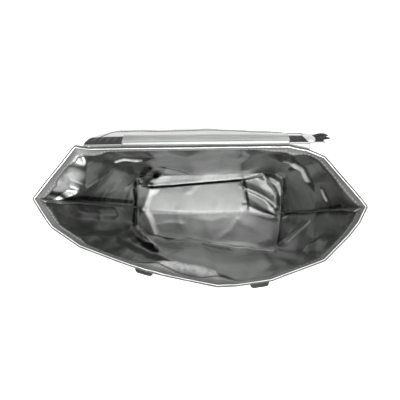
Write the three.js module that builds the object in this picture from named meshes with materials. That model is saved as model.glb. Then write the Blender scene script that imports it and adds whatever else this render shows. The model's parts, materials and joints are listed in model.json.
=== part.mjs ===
// A soft-sided battery charging sack with a boxed base, standing open, its closing flap thrown back.
// Millimetres, +Z up, +X to the sack's right, -Y to its front. The origin is the middle of the base's underside.
//
// The wall is three cloths: an aluminised outer shell, a glass-felt core and a foil-faced lining. Front and back
// are separate panels that meet at a seam in the middle of each narrow side, and a folded hem closes their top edge.
// Cloths that lie on each other keep a gap of 0.3 mm.

import * as THREE from "three";

// ---------------------------------------------------------------- driving dimensions

// The base, seen from above. The cloth is spread wider on the right than on the left.
const LEFT_FOOT = [-139, 6]; // where the side seams come down
const RIGHT_FOOT = [138, -3];
const BASE_FRONT = [[-139, -47], [130, -80]];
const BASE_BACK = [[-139, 66], [145, 73]];
const BASE_CORNER = 16; // how far from a corner its bend begins

const HEIGHT = 240; // top edge of the wall cloths
const BULGE_PANEL = 6; // how far the big panels belly out at half height
const BULGE_SIDE = 2; // the same for the narrow sides
const GAP = 0.3;

// The mouth, seen from above. Each half runs from the left seam to the right seam in three stretches,
// parted where the base's corners come up the wall.
const LEFT_SEAM = [-184, 19];
const RIGHT_SEAM = [169, 11];
const MOUTH_FRONT = [
  [LEFT_SEAM, [-165, -11], [-131, -33]],
  [[-131, -33], [-54, -57], [22, -74], [72, -66], [127, -44]],
  [[127, -44], [159, -10], RIGHT_SEAM],
];
const MOUTH_BACK = [
  [LEFT_SEAM, [-137, 76]],
  [[-137, 76], [-126, 73], [100, 73], [127, 61]],
  [[127, 61], RIGHT_SEAM],
];
const STRETCH_STEPS = [4, 14, 4]; // facets along the three stretches
const WALL_LEVELS = [48, 96, 144, 190, 228]; // heights of the facets' edges, up to the hem's foot

// Layers of the wall, as distances outwards from its middle surface.
const SHELL = { inner: 0.7, outer: 1.4 };
const FELT = { inner: -0.4, outer: 0.4 };
const LINING = { inner: -1.2, outer: -0.7 };
const HEM_THICK = 0.5;
const HEM_DROP = 12; // how far the hem comes down each face
const SHELL_FOOT = 0.5; // lowest edge of the outer wall panels
const INNER_FOOT = 1.1; // lowest edge of the felt and lining walls

// Layers of the base, as heights.
const BASE_LAYERS = {
  base_shell: { low: 0, high: 0.8, outset: SHELL.inner - GAP },
  base_felt: { low: 1.1, high: 1.9, outset: LINING.inner - 0.8 }, // the leaning walls take up some of the gap
  base_lining: { low: 2.2, high: 2.7, outset: LINING.inner - 0.8 },
};

// Bound seam allowances inside the bag.
const SEAM_TAPE = { width: 9, thick: 1.6, low: 14, high: 226, stand: 1.2, turn: -0.35 };
const FOOT_TAPE = { tall: 8, thick: 1.6, low: 3.1, stand: 2.4, inset: 19 };

// Loop tapes on the front, where the flap's hook tape is pressed on.
const LOOP_TAPE = { width: 20, thick: 2.4, low: 118, high: 238.5, stand: SHELL.outer + GAP + HEM_THICK + GAP };
const LOOP_TAPE_X = [-61, 61];

// The flap turns about a line just above the back edge. Its shape is given from that line, in Y and Z.
const FLAP_HINGE = { y: 76, z: 243.4 };
const FLAP_LEFT = -126;
const FLAP_RIGHT = 126;
const FLAP_SHAPE = [[-0.8, -0.2], [5.4, -2.6], [16, -25], [30.5, -62.5]];
const FLAP_SHELL = { inner: -0.85, outer: -0.15 };
const FLAP_LINING = { inner: 0.15, outer: 0.65 };
const FLAP_HEM = 10; // width of the folded hem round the flap's free edges
const HOOK_TAPE = { start: 0.02, end: 0.31, inner: 0.95, outer: 2.55, inset: 1 };
const NECK = { low: 218, high: 239.4, inner: 2.5, outer: 3.2, from: 5, to: 16 }; // between two stations of the wall

// The tuck tongue lies over the hook tape. Its shape is given along the flap, as a share of it and a height off it.
const TONGUE_LEFT = -84;
const TONGUE_RIGHT = 91;
const TONGUE_SHAPE = [[0.12, 3.8], [0.15, 4.4], [0.19, 4.7], [0.23, 4.6], [0.28, 4.3], [0.33, 3.8]];
const TONGUE_BACKING = { inner: -0.65, outer: -0.15 };
const TONGUE_FACING = { inner: 0.15, outer: 0.65 };

const SHEET_STEPS = 10; // facets along the flap's and the tongue's curves

// ---------------------------------------------------------------- materials

const cloth = (color, roughness, metalness) => new THREE.MeshStandardMaterial({ color, roughness, metalness });
const MATERIALS = {
  shell: cloth(0xc9cbcd, 0.45, 0.6),
  felt: cloth(0xd8d4c8, 0.95, 0),
  lining: cloth(0xb4b7b6, 0.32, 0.85),
  hem: cloth(0xb9bcbd, 0.4, 0.7),
  seam: cloth(0x8c8f8f, 0.5, 0.6),
  hook: cloth(0x262626, 0.9, 0),
  loop: cloth(0x2b2b2b, 0.95, 0),
};

// ---------------------------------------------------------------- closed solids

// A closed solid through a row of convex rings, fanned shut at both ends.
function loft(rings) {
  const count = rings[0].length;
  const points = rings.flat();
  const index = [];
  for (let i = 0; i + 1 < rings.length; i++)
    for (let j = 0; j < count; j++) {
      const a = i * count + j;
      const b = i * count + ((j + 1) % count);
      index.push(a, b, b + count, a, b + count, a + count);
    }
  for (const [row, turn] of [[0, -1], [rings.length - 1, 1]]) {
    const centre = rings[row].reduce((sum, p) => sum.add(p), new THREE.Vector3()).divideScalar(count);
    points.push(centre);
    for (let j = 0; j < count; j++) {
      const edge = [row * count + j, row * count + ((j + 1) % count)];
      index.push(...(turn > 0 ? edge : edge.reverse()), points.length - 1);
    }
  }
  return solid(points, index);
}

// A closed solid between two grids of points that face each other, cut into triangles alike on both faces.
function slab(outer, inner) {
  const rows = outer.length;
  const columns = outer[0].length;
  const id = (face, k, i) => (face * rows + k) * columns + i;
  const index = [];
  for (let k = 0; k + 1 < rows; k++)
    for (let i = 0; i + 1 < columns; i++)
      for (const face of [0, 1]) {
        const [a, b, c, d] = [id(face, k, i), id(face, k + 1, i), id(face, k + 1, i + 1), id(face, k, i + 1)];
        index.push(...(face ? [a, c, b, a, d, c] : [a, b, c, a, c, d]));
      }
  const edge = [];
  for (let k = 0; k < rows; k++) edge.push([k, 0]);
  for (let i = 1; i < columns; i++) edge.push([rows - 1, i]);
  for (let k = rows - 2; k >= 0; k--) edge.push([k, columns - 1]);
  for (let i = columns - 2; i > 0; i--) edge.push([0, i]);
  edge.forEach((from, n) => {
    const to = edge[(n + 1) % edge.length];
    const [a, b, c, d] = [id(0, ...to), id(0, ...from), id(1, ...from), id(1, ...to)];
    index.push(a, b, c, a, c, d);
  });
  return solid([...outer.flat(), ...inner.flat()], index);
}

// The geometry of a closed surface, turned to face outwards.
function solid(points, index) {
  const normal = new THREE.Vector3();
  let volume = 0;
  for (let i = 0; i < index.length; i += 3) {
    const [a, b, c] = index.slice(i, i + 3).map((k) => points[k]);
    volume += a.dot(normal.crossVectors(b, c));
  }
  if (volume < 0) index.reverse();
  return new THREE.BufferGeometry().setFromPoints(points).setIndex(index);
}

// ---------------------------------------------------------------- the wall's middle surface

const vectors = (pairs) => pairs.map(([x, y]) => new THREE.Vector2(x, y));
const spaced = (path, steps) => path.getSpacedPoints(steps);

// One stretch after another, without doubling the points where they join.
function joined(stretches) {
  return stretches.flatMap((path, k) => spaced(path, STRETCH_STEPS[k]).slice(k ? 1 : 0));
}

// The bend at one of the base's corners, met from one point and left for another.
function bendAt(corner, before, after) {
  const [c, a, b] = vectors([corner, before, after]);
  const enter = c.clone().add(a.sub(c).setLength(BASE_CORNER));
  const leave = c.clone().add(b.sub(c).setLength(BASE_CORNER));
  const enterControl = enter.clone().lerp(c, 0.5);
  const leaveControl = leave.clone().lerp(c, 0.5);
  return { enter, enterControl, middle: enterControl.clone().lerp(leaveControl, 0.5), leaveControl, leave };
}

// The base's outline on one side, cut in three at the middle of its corners.
function baseHalf([leftCorner, rightCorner]) {
  const left = bendAt(leftCorner, LEFT_FOOT, rightCorner);
  const right = bendAt(rightCorner, leftCorner, RIGHT_FOOT);
  const start = (p) => new THREE.Path().moveTo(p.x, p.y);
  const line = (path, p) => path.lineTo(p.x, p.y);
  const bend = (path, control, p) => path.quadraticCurveTo(control.x, control.y, p.x, p.y);
  const [leftFoot, rightFoot] = vectors([LEFT_FOOT, RIGHT_FOOT]);
  const first = bend(line(start(leftFoot), left.enter), left.enterControl, left.middle);
  const middle = line(bend(start(left.middle), left.leaveControl, left.leave), right.enter);
  bend(middle, right.enterControl, right.middle);
  const last = line(bend(start(right.middle), right.leaveControl, right.leave), rightFoot);
  return joined([first, middle, last]);
}

const mouthHalf = (stretches) => joined(stretches.map((pairs) => new THREE.Path(vectors(pairs))));

const HALF_STEPS = STRETCH_STEPS.reduce((a, b) => a + b);

// A closed loop, anticlockwise from the left seam, out of a front and a back half.
const loopOf = (front, back) => [...front, ...[...back].reverse().slice(1, -1)];

const BASE_LOOP = loopOf(baseHalf(BASE_FRONT), baseHalf(BASE_BACK));
const MOUTH_LOOP = loopOf(mouthHalf(MOUTH_FRONT), mouthHalf(MOUTH_BACK));

// Moves a loop outwards by a distance, keeping its corners mitred.
function outset(loop, distance) {
  const count = loop.length;
  const normalAt = (k) => {
    const a = loop[(k + count) % count];
    const b = loop[(k + 1) % count];
    return new THREE.Vector2(b.y - a.y, a.x - b.x).normalize();
  };
  return loop.map((p, k) => {
    const before = normalAt(k - 1);
    const after = normalAt(k);
    const mitre = before.clone().add(after).divideScalar(1 + before.dot(after));
    return p.clone().addScaledVector(mitre, distance);
  });
}

// How far a station bellies out at half height: nothing at the seams and corners.
function bulgeAt(station) {
  let k = station <= HALF_STEPS ? station : 2 * HALF_STEPS - station;
  for (const [stretch, steps] of STRETCH_STEPS.entries()) {
    const depth = stretch === 1 ? BULGE_PANEL : BULGE_SIDE;
    if (k <= steps) return depth * Math.sin((Math.PI * k) / steps);
    k -= steps;
  }
  return 0;
}

// The wall's loop at a height, moved outwards by a distance.
function wallLoop(z, distance) {
  const share = z / HEIGHT;
  const straight = BASE_LOOP.map((p, k) => p.clone().lerp(MOUTH_LOOP[k], share));
  const belly = outset(straight, 1).map((p, k) =>
    straight[k].clone().lerp(p, bulgeAt(k) * Math.sin(Math.PI * share)),
  );
  return outset(belly, distance);
}

// The stations of one half of the loop, in order, with their ends pulled in a little to part the panels.
function halfOf(loop, side) {
  const front = loop.slice(0, HALF_STEPS + 1);
  const back = [loop[0], ...loop.slice(HALF_STEPS).reverse()];
  const half = (side < 0 ? front : back).map((p) => p.clone());
  const pull = (end, next) => half[end].add(half[next].clone().sub(half[end]).setLength(GAP));
  pull(0, 1);
  pull(half.length - 1, half.length - 2);
  return half;
}

const levels = (low, high, steps) => Array.from({ length: steps + 1 }, (_, i) => low + ((high - low) * i) / steps);
const heightsBetween = (low, high) => [low, ...WALL_LEVELS.filter((z) => z > low && z < high), high];
const at = (p, z) => new THREE.Vector3(p.x, p.y, z);

// ---------------------------------------------------------------- panels, hems and tapes

// One cloth of the front or back wall, or the part of it between two stations.
function wallPanel(side, layer, low, high, from = 0, to = HALF_STEPS) {
  const heights = heightsBetween(low, high);
  const row = (z, distance) => halfOf(wallLoop(Math.min(z, HEIGHT), distance), side).slice(from, to + 1);
  const face = (distance) => heights.map((z) => row(z, distance).map((p) => at(p, z)));
  return slab(face(layer.outer), face(layer.inner));
}

// The folded hem over the top edge of one half: an upside-down U.
function rimHem(side) {
  const skin = (away) => {
    const out = SHELL.outer + away;
    const back = LINING.inner - away;
    const foot = HEIGHT - HEM_DROP;
    const roof = HEIGHT + away;
    return [[out, foot], [out, roof], [back, roof], [back, foot]].map(([distance, z]) =>
      halfOf(wallLoop(Math.min(z, HEIGHT), distance), side).map((p) => at(p, z)),
    );
  };
  return slab(skin(GAP + HEM_THICK), skin(GAP));
}

function basePlate({ low, high, outset: distance }) {
  const loop = outset(BASE_LOOP, distance);
  return loft([low, high].map((z) => loop.map((p) => at(p, z))));
}

// The bound allowance of a side seam: a fin that runs up the inside of the seam.
function seamTape(side) {
  const station = side < 0 ? 0 : HALF_STEPS;
  const inwards = new THREE.Vector2(-side, SEAM_TAPE.turn).normalize();
  const across = new THREE.Vector2(-inwards.y, inwards.x).multiplyScalar(SEAM_TAPE.thick / 2);
  const ring = (z) => {
    const root = wallLoop(z, LINING.inner)[station].clone().addScaledVector(inwards, SEAM_TAPE.stand);
    const tip = root.clone().addScaledVector(inwards, SEAM_TAPE.width);
    return [root.clone().sub(across), tip.clone().sub(across), tip.clone().add(across), root.clone().add(across)]
      .map((p) => at(p, z));
  };
  return loft(heightsBetween(SEAM_TAPE.low, SEAM_TAPE.high).map(ring));
}

// The bound allowance of a base seam, standing along the foot of a narrow side.
function footTape(side) {
  const k = side < 0 ? 0 : 1;
  const [front, back] = vectors([BASE_FRONT[k], BASE_BACK[k]]);
  const along = back.clone().sub(front).normalize();
  const inwards = new THREE.Vector2(-side * along.y, side * along.x);
  const middle = SHELL.outer - LINING.inner + FOOT_TAPE.stand;
  const ring = (end, step) => {
    const root = end.clone().addScaledVector(along, step).addScaledVector(inwards, middle);
    return [[-1, 0], [1, 0], [1, 1], [-1, 1]].map(([across, up]) =>
      at(root.clone().addScaledVector(inwards, (across * FOOT_TAPE.thick) / 2), FOOT_TAPE.low + up * FOOT_TAPE.tall),
    );
  };
  return loft([ring(front, FOOT_TAPE.inset), ring(back, -FOOT_TAPE.inset)]);
}

// Where a loop's front (-1) or back (1) crosses a line of constant X.
function crossing(loop, x, side) {
  const half = halfOf(loop, side);
  const k = half.findIndex((p, i) => i > 0 && half[i - 1].x <= x && p.x >= x);
  const [a, b] = [half[k - 1], half[k]];
  return a.clone().lerp(b, (x - a.x) / (b.x - a.x));
}

// A tape laid on the outside of a big panel, between two X and two heights.
function wallTape(side, xs, low, high, inner, thick) {
  const heights = heightsBetween(low, high);
  const point = (x, z, distance) => at(crossing(wallLoop(Math.min(z, HEIGHT), distance), x, side), z);
  const face = (distance) => xs.map((x) => heights.map((z) => point(x, z, distance)));
  return slab(face(inner + thick), face(inner));
}

// ---------------------------------------------------------------- the flap and its tongue

// A point beside a sheet's curve: along it by share, and off it towards the side that faces up and back.
function beside(curve, share, distance) {
  const p = curve.getPointAt(share);
  const t = curve.getTangentAt(share);
  return new THREE.Vector2(p.x - t.y * distance, p.y + t.x * distance);
}

const FLAP_CURVE = new THREE.CubicBezierCurve(...vectors(FLAP_SHAPE));
const TONGUE_CURVE = new THREE.SplineCurve(TONGUE_SHAPE.map(([share, off]) => beside(FLAP_CURVE, share, off)));

const hinged = (x, p) => new THREE.Vector3(x, FLAP_HINGE.y + p.x, FLAP_HINGE.z + p.y);

// A curved sheet between two X, from one share of its curve to another.
function sheet(curve, left, right, layer, from = 0, to = 1) {
  const shares = levels(from, to, SHEET_STEPS);
  const face = (off) => [left, right].map((x) => shares.map((share) => hinged(x, beside(curve, share, off))));
  return slab(face(layer.outer), face(layer.inner));
}

// The two skins of a folded hem round the flap's edge, as heights off the flap and distances past its edge.
const flapHemSkin = (away) => ({ high: FLAP_LINING.outer + away, low: FLAP_SHELL.inner - away, past: away });
const HEM_SKINS = [flapHemSkin(GAP + HEM_THICK), flapHemSkin(GAP)];
const HEM_SHARE = FLAP_HEM / FLAP_CURVE.getLength();

// The folded hem on the flap's far edge.
function flapTipHem() {
  const forwards = FLAP_CURVE.getTangentAt(1);
  const faces = HEM_SKINS.map(({ high, low, past }) => {
    const section = [
      beside(FLAP_CURVE, 1 - HEM_SHARE, high), beside(FLAP_CURVE, 1, high).addScaledVector(forwards, past),
      beside(FLAP_CURVE, 1, low).addScaledVector(forwards, past), beside(FLAP_CURVE, 1 - HEM_SHARE, low),
    ];
    return [FLAP_LEFT, FLAP_RIGHT].map((x) => section.map((p) => hinged(x, p)));
  });
  return slab(...faces);
}

// The folded hem on one side edge, from below the hook tape to the far hem.
function flapSideHem(side) {
  const edge = side < 0 ? FLAP_LEFT : FLAP_RIGHT;
  const inner = edge - side * FLAP_HEM;
  const shares = levels(HOOK_TAPE.end + 0.02, 1 - HEM_SHARE - 0.02, 4);
  const faces = HEM_SKINS.map(({ high, low, past }) => {
    const section = [[inner, high], [edge + side * past, high], [edge + side * past, low], [inner, low]];
    return shares.map((share) => section.map(([x, off]) => hinged(x, beside(FLAP_CURVE, share, off))));
  });
  return slab(...faces);
}

// ---------------------------------------------------------------- assembly

const sack = new THREE.Group();

function add(name, geometry, material) {
  const mesh = new THREE.Mesh(geometry, MATERIALS[material]);
  mesh.name = name;
  sack.add(mesh);
}

for (const [name, side] of [["front", -1], ["back", 1]]) {
  add(`${name}_shell`, wallPanel(side, SHELL, SHELL_FOOT, HEIGHT), "shell");
  add(`${name}_felt`, wallPanel(side, FELT, INNER_FOOT, HEIGHT - 1), "felt");
  add(`${name}_lining`, wallPanel(side, LINING, INNER_FOOT, HEIGHT), "lining");
  add(`${name}_rim_hem`, rimHem(side), "hem");
}
for (const [name, layer] of Object.entries(BASE_LAYERS)) add(name, basePlate(layer), name.slice("base_".length));
for (const [name, side] of [["left", -1], ["right", 1]]) {
  add(`${name}_side_seam_tape`, seamTape(side), "seam");
  add(`${name}_base_seam_tape`, footTape(side), "seam");
}
LOOP_TAPE_X.forEach((x, k) => {
  const half = LOOP_TAPE.width / 2;
  const tape = wallTape(-1, [x - half, x, x + half], LOOP_TAPE.low, LOOP_TAPE.high, LOOP_TAPE.stand, LOOP_TAPE.thick);
  add(`${k ? "right" : "left"}_loop_tape`, tape, "loop");
});
add("flap_neck", wallPanel(1, NECK, NECK.low, NECK.high, NECK.from, NECK.to), "shell");

add("flap_shell", sheet(FLAP_CURVE, FLAP_LEFT, FLAP_RIGHT, FLAP_SHELL), "shell");
add("flap_lining", sheet(FLAP_CURVE, FLAP_LEFT, FLAP_RIGHT, FLAP_LINING), "lining");
const hookEnds = [FLAP_LEFT + HOOK_TAPE.inset, FLAP_RIGHT - HOOK_TAPE.inset];
add("hook_tape", sheet(FLAP_CURVE, ...hookEnds, HOOK_TAPE, HOOK_TAPE.start, HOOK_TAPE.end), "hook");
add("flap_tip_hem", flapTipHem(), "hem");
add("flap_left_hem", flapSideHem(-1), "hem");
add("flap_right_hem", flapSideHem(1), "hem");

add("tongue_facing", sheet(TONGUE_CURVE, TONGUE_LEFT, TONGUE_RIGHT, TONGUE_FACING), "lining");
add("tongue_backing", sheet(TONGUE_CURVE, TONGUE_LEFT, TONGUE_RIGHT, TONGUE_BACKING), "shell");

export default sack;
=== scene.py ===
"""A battery charging sack of silver cloth, standing open with its flap thrown back, seen from above."""

import bmesh
import bpy
import json
import math
import numpy as np
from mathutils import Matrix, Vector
from mathutils.bvhtree import BVHTree


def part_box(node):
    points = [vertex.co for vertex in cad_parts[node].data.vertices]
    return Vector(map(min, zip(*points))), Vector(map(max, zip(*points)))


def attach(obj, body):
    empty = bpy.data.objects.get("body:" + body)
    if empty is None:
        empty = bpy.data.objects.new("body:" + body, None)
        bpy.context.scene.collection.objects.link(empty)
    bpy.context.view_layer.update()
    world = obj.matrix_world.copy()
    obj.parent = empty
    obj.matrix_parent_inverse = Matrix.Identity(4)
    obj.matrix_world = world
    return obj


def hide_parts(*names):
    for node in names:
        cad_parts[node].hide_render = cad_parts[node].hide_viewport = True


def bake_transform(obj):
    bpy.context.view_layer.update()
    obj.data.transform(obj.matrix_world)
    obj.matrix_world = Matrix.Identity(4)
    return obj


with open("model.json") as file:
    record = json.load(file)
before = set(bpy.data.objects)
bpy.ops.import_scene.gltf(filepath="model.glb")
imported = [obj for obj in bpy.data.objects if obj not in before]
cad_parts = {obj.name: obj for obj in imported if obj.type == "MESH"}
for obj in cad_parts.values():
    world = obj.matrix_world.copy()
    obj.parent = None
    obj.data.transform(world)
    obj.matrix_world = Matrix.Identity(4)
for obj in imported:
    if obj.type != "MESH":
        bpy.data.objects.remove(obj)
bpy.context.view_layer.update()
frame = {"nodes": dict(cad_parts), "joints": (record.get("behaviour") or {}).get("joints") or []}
CAD = frame["nodes"]
JOINTS = {joint["name"]: joint for joint in frame["joints"]}
MM = 0.001

# ---------------------------------------------------------------- sizes, in metres

AXIS = np.array([-0.004, -0.002])  # a point inside every level of the wall, in X and Y
WALL_LOW = 0.0015  # height of the middle of the wall's cloths at the base
WALL_HIGH = 0.2389  # and at the rim
SHELL_TOP = 0.2388
FOOT_GAP = 0.0001  # nothing of the sack comes lower than this

# Where the facets' edges run down the wall: front left, front right, back right and back left.
RIM_CORNERS = [(-0.131, -0.033), (0.127, -0.044), (0.127, 0.061), (-0.137, 0.076)]
BASE_CORNERS = [(-0.1375, -0.0455), (0.1265, -0.0765), (0.1415, 0.0705), (-0.1375, 0.0645)]
BASE_TIPS = [(-0.1375, 0.006), (0.136, -0.003)]  # where the side seams come down, left and right

SIDE_CELLS = 24  # cells of the wall's grid from a side seam to a corner
PANEL_CELLS = 84  # and from corner to corner along the front and the back
ROWS = 76
COLUMNS = 4 * SIDE_CELLS + 2 * PANEL_CELLS

# The wall's columns at the seams and corners, from the left seam round the front.
LEFT_SEAM = 0
FL = SIDE_CELLS
FR = FL + PANEL_CELLS
RIGHT_SEAM = FR + SIDE_CELLS
BR = RIGHT_SEAM + SIDE_CELLS
BL = BR + PANEL_CELLS


# ---------------------------------------------------------------- the wall's middle surface

def tree_of(*names):
    """The solids of the frame's nodes, ready to cast rays at."""
    points, faces = [], []
    for name in names:
        mesh = CAD[name].data
        first = len(points)
        points += [v.co.copy() for v in mesh.vertices]
        faces += [[first + i for i in p.vertices] for p in mesh.polygons]
    return BVHTree.FromPolygons(points, faces)


FELT = tree_of("front_felt", "back_felt")
ANGLES = np.linspace(-math.pi, math.pi, 1441)


def felt_radii(z):
    """How far the middle of the felt is from the axis, all round, at a height."""
    radii = np.full(len(ANGLES), np.nan)
    origin = Vector((AXIS[0], AXIS[1], z))
    for k, angle in enumerate(ANGLES):
        way = Vector((math.cos(angle), math.sin(angle), 0))
        inner = FELT.ray_cast(origin, way)[0]
        if inner is None:
            continue
        outer = FELT.ray_cast(inner + way * 1e-5, way)[0]
        if outer is not None and (outer - inner).length < 0.004:
            radii[k] = ((inner + outer) / 2 - origin).length
    known = np.isfinite(radii)
    return np.interp(ANGLES, ANGLES[known], radii[known])


LEVELS = np.linspace(WALL_LOW, WALL_HIGH, 27)
RADII = np.array([felt_radii(z) for z in LEVELS])


def radius_at(angle, z):
    """The middle surface's distance from the axis at given angles and one height."""
    level = np.clip((z - WALL_LOW) / (WALL_HIGH - WALL_LOW) * (len(LEVELS) - 1), 0, len(LEVELS) - 1.001)
    k = int(level)
    low = np.interp(angle, ANGLES, RADII[k])
    high = np.interp(angle, ANGLES, RADII[k + 1])
    return low + (high - low) * (level - k)


def angle_of(point):
    return math.atan2(point[1] - AXIS[1], point[0] - AXIS[0])


def on_level(angles, z):
    """Points of the middle surface at given angles and one height, in X and Y."""
    r = radius_at(angles, z)
    return AXIS + r[:, None] * np.stack([np.cos(angles), np.sin(angles)], 1)


def rim_tips():
    """The angles of the mouth's two ends, left and right."""
    x = on_level(ANGLES, WALL_HIGH)[:, 0]
    start, end = slice(0, 200), slice(-200, None)
    middle = slice(len(ANGLES) // 2 - 120, len(ANGLES) // 2 + 120)
    left = start if x[start].min() < x[end].min() else end
    return float(ANGLES[left][np.argmin(x[left])]), float(ANGLES[middle][np.argmax(x[middle])])


def lengths_along(path):
    """How far each point of a path is along it."""
    return np.concatenate([[0], np.cumsum(np.linalg.norm(np.diff(path, axis=0), axis=1))])


def loop_at(z, corners, tips):
    """The wall's grid points at one height, from the left seam round the front, spaced evenly from corner to
    corner. Tips are the angles of the two side seams."""
    left, right = tips
    front_left, front_right, back_right, back_left = map(angle_of, corners)
    stops = [left, front_left, front_right, right, back_right, back_left, left]
    points = []
    for k, cells in enumerate([SIDE_CELLS, PANEL_CELLS, SIDE_CELLS, SIDE_CELLS, PANEL_CELLS, SIDE_CELLS]):
        a, b = stops[k], stops[k + 1]
        while b < a:
            b += 2 * math.pi
        run = np.linspace(a, b, 600)
        wrapped = (run + math.pi) % (2 * math.pi) - math.pi
        r = np.interp(wrapped, ANGLES, radius_at(ANGLES, z))
        path = AXIS + r[:, None] * np.stack([np.cos(run), np.sin(run)], 1)
        along = lengths_along(path)
        at = np.linspace(0, along[-1], cells + 1)[:-1]
        points.append(np.stack([np.interp(at, along, path[:, i]) for i in (0, 1)], 1))
    return np.concatenate(points)


def wall_form():
    """The wall's grid: rows of points from the base up to the rim."""
    rim = loop_at(WALL_HIGH, RIM_CORNERS, rim_tips())
    foot = loop_at(WALL_LOW, BASE_CORNERS, [angle_of(tip) for tip in BASE_TIPS])
    wall = np.zeros((ROWS + 1, COLUMNS, 3))
    for j, share in enumerate(np.linspace(0, 1, ROWS + 1)):
        z = WALL_LOW + share * (WALL_HIGH - WALL_LOW)
        level = foot + (rim - foot) * share - AXIS
        angle = np.arctan2(level[:, 1], level[:, 0])
        wall[j, :, :2] = on_level(angle, z)
        wall[j, :, 2] = z
    return wall


def base_form(wall):
    """The base's grid, spanned between the four sides of the wall's lowest row."""
    row = wall[0]
    front, back = row[FL:FR + 1], row[BR:BL + 1][::-1]
    left, right = np.concatenate([row[BL:], row[:FL + 1]])[::-1], row[FR:BR + 1]
    u = np.linspace(0, 1, PANEL_CELLS + 1)[None, :, None]
    v = np.linspace(0, 1, 2 * SIDE_CELLS + 1)[:, None, None]
    corners = (1 - u) * (1 - v) * front[0] + u * (1 - v) * front[-1]
    corners = corners + (1 - u) * v * back[0] + u * v * back[-1]
    return (1 - v) * front[None] + v * back[None] + (1 - u) * left[:, None] + u * right[:, None] - corners


def softened(wall):
    """The wall without its facets: each point is drawn a little towards its neighbours, but not at the rim,
    the foot and the seams."""
    free = 1 - smoothstep(np.arange(ROWS + 1), ROWS - 12, ROWS)
    share = np.ones((ROWS + 1, COLUMNS, 1)) * free[:, None, None]
    for seam in (LEFT_SEAM, RIGHT_SEAM):
        share[:, seam] = 0
    share[0] = 0
    for _ in range(14):
        mean = (np.roll(wall, 1, 1) + np.roll(wall, -1, 1)) / 2
        mean[1:-1] = mean[1:-1] / 2 + (wall[2:] + wall[:-2]) / 4
        wall = wall + (mean - wall) * share * 0.6
    return wall


# ---------------------------------------------------------------- grids and meshes

def grid_faces(rows, columns, first=0, closed=False, flip=False):
    """The four-sided faces of a grid whose points are stored row by row."""
    faces = []
    for j in range(rows - 1):
        for i in range(columns if closed else columns - 1):
            k = (i + 1) % columns
            face = [first + j * columns + i, first + j * columns + k,
                    first + (j + 1) * columns + k, first + (j + 1) * columns + i]
            faces.append(face[::-1] if flip else face)
    return faces


def new_mesh(name, points, faces, flat_from=None, uv=None, painted_light=None):
    """A mesh object. Faces from number flat_from on are shaded flat, uv gives each point its place in the
    weave, and painted_light says how much painted highlight (above nought) or painted shadow (below nought)
    it carries."""
    mesh = bpy.data.meshes.new(name)
    mesh.from_pydata([tuple(p) for p in np.asarray(points, float).reshape(-1, 3)], [], faces)
    smooth = np.ones(len(mesh.polygons), bool)
    if flat_from is not None:
        smooth[flat_from:] = False
    mesh.polygons.foreach_set("use_smooth", smooth)
    if uv is not None:
        corner = np.zeros(len(mesh.loops), np.int32)
        mesh.loops.foreach_get("vertex_index", corner)
        layer = mesh.uv_layers.new(name="weave")
        layer.data.foreach_set("uv", np.asarray(uv, np.float32)[corner].ravel())
    if painted_light is not None:
        wear = mesh.attributes.new("painted_light", "FLOAT", "POINT")
        wear.data.foreach_set("value", np.asarray(painted_light, np.float32).ravel())
    mesh.update()
    piece = bpy.data.objects.new(name, mesh)
    bpy.context.scene.collection.objects.link(piece)
    return piece


def turned_out(piece):
    """Makes the faces of a closed piece look outwards."""
    work = bmesh.new()
    work.from_mesh(piece.data)
    bmesh.ops.recalc_face_normals(work, faces=work.faces)
    work.to_mesh(piece.data)
    work.free()
    return piece


def thin_solid(name, outer, inner, uv):
    """A closed solid between two grids of points that face each other."""
    rows, columns = outer.shape[:2]
    count = rows * columns
    number = np.arange(count).reshape(rows, columns)
    sides = number[0], number[1:, -1], number[-1, -2::-1], number[-2:0:-1, 0]
    edge = [int(i) for i in np.concatenate(sides)]
    faces = grid_faces(rows, columns) + grid_faces(rows, columns, first=count, flip=True)
    border = [[b, a, a + count, b + count] for a, b in zip(edge, edge[1:] + edge[:1])]
    points = np.concatenate([outer.reshape(-1, 3), inner.reshape(-1, 3)])
    both = np.concatenate([uv.reshape(-1, 2)] * 2)
    return turned_out(new_mesh(name, points, faces + border, flat_from=len(faces), uv=both))


def swept(name, rings):
    """A closed solid through a row of rings, with its ends fanned shut."""
    rings = np.asarray(rings)
    rows, columns = rings.shape[:2]
    faces = grid_faces(rows, columns, closed=True)
    points = list(rings.reshape(-1, 3))
    for row in (0, rows - 1):
        points.append(rings[row].mean(0))
        for i in range(columns):
            faces.append([row * columns + i, row * columns + (i + 1) % columns, len(points) - 1])
    uv = np.zeros((len(points), 2))
    along = lengths_along(rings.mean(1))
    around = np.linspace(0, np.linalg.norm(rings[0] - np.roll(rings[0], 1, 0), axis=1).sum(), columns)
    uv[:rows * columns] = np.stack(np.meshgrid(along, around, indexing="ij"), 2).reshape(-1, 2)
    return turned_out(new_mesh(name, points, faces, uv=uv))


def smoothstep(x, low, high):
    t = np.clip((np.asarray(x, float) - low) / (high - low), 0, 1)
    return t * t * (3 - 2 * t)


def bell(x, middle, width):
    """A smooth bump: 1 at the middle and near nought two widths away."""
    return np.exp(-(((x - middle) / width) ** 2))


def points_of(mesh):
    points = np.zeros(len(mesh.vertices) * 3, np.float32)
    mesh.vertices.foreach_get("co", points)
    return points.reshape(-1, 3).astype(float)


def normals_of(points, faces):
    """Smooth normals of the points of a mesh of four-sided faces."""
    quads = np.asarray(faces)
    a, b, c, d = (points[quads[:, k]] for k in range(4))
    face_normal = np.cross(c - a, d - b)
    normals = np.zeros_like(points)
    for k in range(4):
        np.add.at(normals, quads[:, k], face_normal)
    return normals / np.maximum(np.linalg.norm(normals, axis=1, keepdims=True), 1e-12)


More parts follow.
